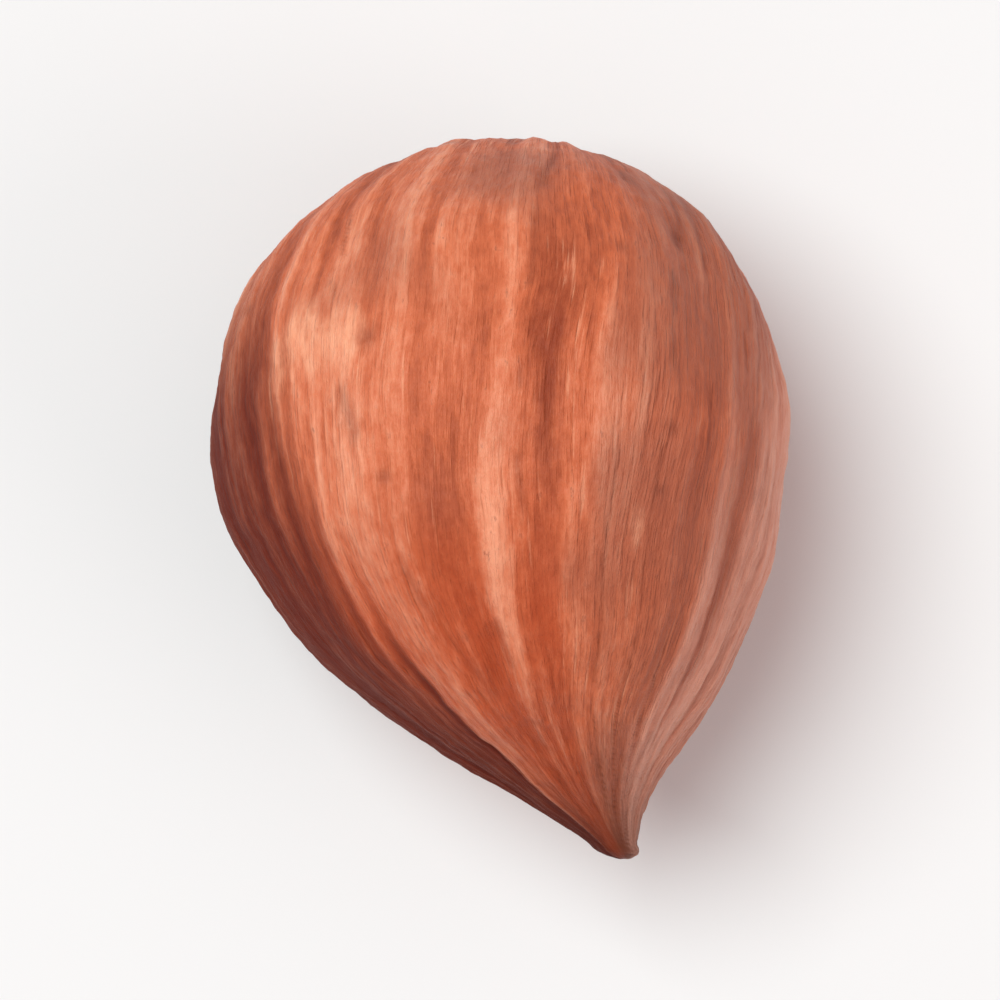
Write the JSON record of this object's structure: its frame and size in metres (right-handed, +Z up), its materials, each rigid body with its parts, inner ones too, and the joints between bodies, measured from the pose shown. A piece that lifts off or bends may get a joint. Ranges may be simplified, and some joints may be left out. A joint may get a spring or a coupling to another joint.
{
  "type": "hazelnut kernel",
  "caption": "Shelled hazelnut kernel in its brown striped skin: round blunt end, flanks tapering to a bent, drawn-out tip, lying on its side on a small flat spot.",
  "frame": {"origin": "on the surface that the kernel rests on, under the middle of its bounding box", "axes": "+Z up, +Y from the tip towards the blunt end along the kernel's length, +X the side that the tip bends to"},
  "size_m": [0.0116, 0.0146, 0.0109],
  "materials": {
    "kernel_skin": "satin papery skin, red-brown with paler lengthwise stripes"
  },
  "bodies": {
    "root": {"hazelnut_kernel": "kernel_skin"}
  },
  "joints": []
}
